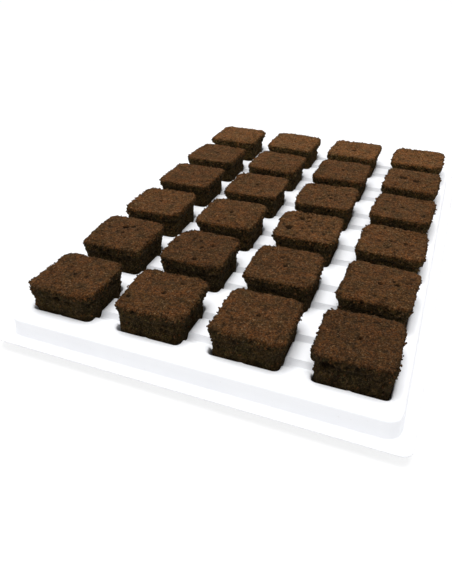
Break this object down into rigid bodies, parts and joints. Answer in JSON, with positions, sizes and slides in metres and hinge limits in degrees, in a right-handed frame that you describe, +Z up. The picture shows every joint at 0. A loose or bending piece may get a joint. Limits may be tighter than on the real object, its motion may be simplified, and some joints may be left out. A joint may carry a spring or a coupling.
{
  "type": "plug tray",
  "caption": "Shallow white formed tray with a grid of square pockets, each holding one square growing plug that lifts out.",
  "frame": {"origin": "middle of the footprint, on the plane under the pocket floors that the tray stands on", "axes": "+X along a row of four pockets, +Y along a column of six pockets, +Z up"},
  "size_m": [0.1998, 0.2982, 0.0311],
  "materials": {
    "white_sheet": "thin formed plastic sheet, soft sheen",
    "pressed_peat": "rough, open, crumbly pressed peat and fibre"
  },
  "bodies": {
    "tray": {"tray": "white_sheet"},
    "plug_r1_c1": {"plug_r1_c1": "pressed_peat"},
    "plug_r1_c2": {"plug_r1_c2": "pressed_peat"},
    "plug_r1_c3": {"plug_r1_c3": "pressed_peat"},
    "plug_r1_c4": {"plug_r1_c4": "pressed_peat"},
    "plug_r2_c1": {"plug_r2_c1": "pressed_peat"},
    "plug_r2_c2": {"plug_r2_c2": "pressed_peat"},
    "plug_r2_c3": {"plug_r2_c3": "pressed_peat"},
    "plug_r2_c4": {"plug_r2_c4": "pressed_peat"},
    "plug_r3_c1": {"plug_r3_c1": "pressed_peat"},
    "plug_r3_c2": {"plug_r3_c2": "pressed_peat"},
    "plug_r3_c3": {"plug_r3_c3": "pressed_peat"},
    "plug_r3_c4": {"plug_r3_c4": "pressed_peat"},
    "plug_r4_c1": {"plug_r4_c1": "pressed_peat"},
    "plug_r4_c2": {"plug_r4_c2": "pressed_peat"},
    "plug_r4_c3": {"plug_r4_c3": "pressed_peat"},
    "plug_r4_c4": {"plug_r4_c4": "pressed_peat"},
    "plug_r5_c1": {"plug_r5_c1": "pressed_peat"},
    "plug_r5_c2": {"plug_r5_c2": "pressed_peat"},
    "plug_r5_c3": {"plug_r5_c3": "pressed_peat"},
    "plug_r5_c4": {"plug_r5_c4": "pressed_peat"},
    "plug_r6_c1": {"plug_r6_c1": "pressed_peat"},
    "plug_r6_c2": {"plug_r6_c2": "pressed_peat"},
    "plug_r6_c3": {"plug_r6_c3": "pressed_peat"},
    "plug_r6_c4": {"plug_r6_c4": "pressed_peat"}
  },
  "joints": [
    {"name": "plug_r1_c1_lift", "type": "slide", "parent": "tray", "child": "plug_r1_c1", "axis": [0, 0, 1], "range_m": [0, 0.045]},
    {"name": "plug_r1_c2_lift", "type": "slide", "parent": "tray", "child": "plug_r1_c2", "axis": [0, 0, 1], "range_m": [0, 0.045]},
    {"name": "plug_r1_c3_lift", "type": "slide", "parent": "tray", "child": "plug_r1_c3", "axis": [0, 0, 1], "range_m": [0, 0.045]},
    {"name": "plug_r1_c4_lift", "type": "slide", "parent": "tray", "child": "plug_r1_c4", "axis": [0, 0, 1], "range_m": [0, 0.045]},
    {"name": "plug_r2_c1_lift", "type": "slide", "parent": "tray", "child": "plug_r2_c1", "axis": [0, 0, 1], "range_m": [0, 0.045]},
    {"name": "plug_r2_c2_lift", "type": "slide", "parent": "tray", "child": "plug_r2_c2", "axis": [0, 0, 1], "range_m": [0, 0.045]},
    {"name": "plug_r2_c3_lift", "type": "slide", "parent": "tray", "child": "plug_r2_c3", "axis": [0, 0, 1], "range_m": [0, 0.045]},
    {"name": "plug_r2_c4_lift", "type": "slide", "parent": "tray", "child": "plug_r2_c4", "axis": [0, 0, 1], "range_m": [0, 0.045]},
    {"name": "plug_r3_c1_lift", "type": "slide", "parent": "tray", "child": "plug_r3_c1", "axis": [0, 0, 1], "range_m": [0, 0.045]},
    {"name": "plug_r3_c2_lift", "type": "slide", "parent": "tray", "child": "plug_r3_c2", "axis": [0, 0, 1], "range_m": [0, 0.045]},
    {"name": "plug_r3_c3_lift", "type": "slide", "parent": "tray", "child": "plug_r3_c3", "axis": [0, 0, 1], "range_m": [0, 0.045]},
    {"name": "plug_r3_c4_lift", "type": "slide", "parent": "tray", "child": "plug_r3_c4", "axis": [0, 0, 1], "range_m": [0, 0.045]},
    {"name": "plug_r4_c1_lift", "type": "slide", "parent": "tray", "child": "plug_r4_c1", "axis": [0, 0, 1], "range_m": [0, 0.045]},
    {"name": "plug_r4_c2_lift", "type": "slide", "parent": "tray", "child": "plug_r4_c2", "axis": [0, 0, 1], "range_m": [0, 0.045]},
    {"name": "plug_r4_c3_lift", "type": "slide", "parent": "tray", "child": "plug_r4_c3", "axis": [0, 0, 1], "range_m": [0, 0.045]},
    {"name": "plug_r4_c4_lift", "type": "slide", "parent": "tray", "child": "plug_r4_c4", "axis": [0, 0, 1], "range_m": [0, 0.045]},
    {"name": "plug_r5_c1_lift", "type": "slide", "parent": "tray", "child": "plug_r5_c1", "axis": [0, 0, 1], "range_m": [0, 0.045]},
    {"name": "plug_r5_c2_lift", "type": "slide", "parent": "tray", "child": "plug_r5_c2", "axis": [0, 0, 1], "range_m": [0, 0.045]},
    {"name": "plug_r5_c3_lift", "type": "slide", "parent": "tray", "child": "plug_r5_c3", "axis": [0, 0, 1], "range_m": [0, 0.045]},
    {"name": "plug_r5_c4_lift", "type": "slide", "parent": "tray", "child": "plug_r5_c4", "axis": [0, 0, 1], "range_m": [0, 0.045]},
    {"name": "plug_r6_c1_lift", "type": "slide", "parent": "tray", "child": "plug_r6_c1", "axis": [0, 0, 1], "range_m": [0, 0.045]},
    {"name": "plug_r6_c2_lift", "type": "slide", "parent": "tray", "child": "plug_r6_c2", "axis": [0, 0, 1], "range_m": [0, 0.045]},
    {"name": "plug_r6_c3_lift", "type": "slide", "parent": "tray", "child": "plug_r6_c3", "axis": [0, 0, 1], "range_m": [0, 0.045]},
    {"name": "plug_r6_c4_lift", "type": "slide", "parent": "tray", "child": "plug_r6_c4", "axis": [0, 0, 1], "range_m": [0, 0.045]}
  ]
}
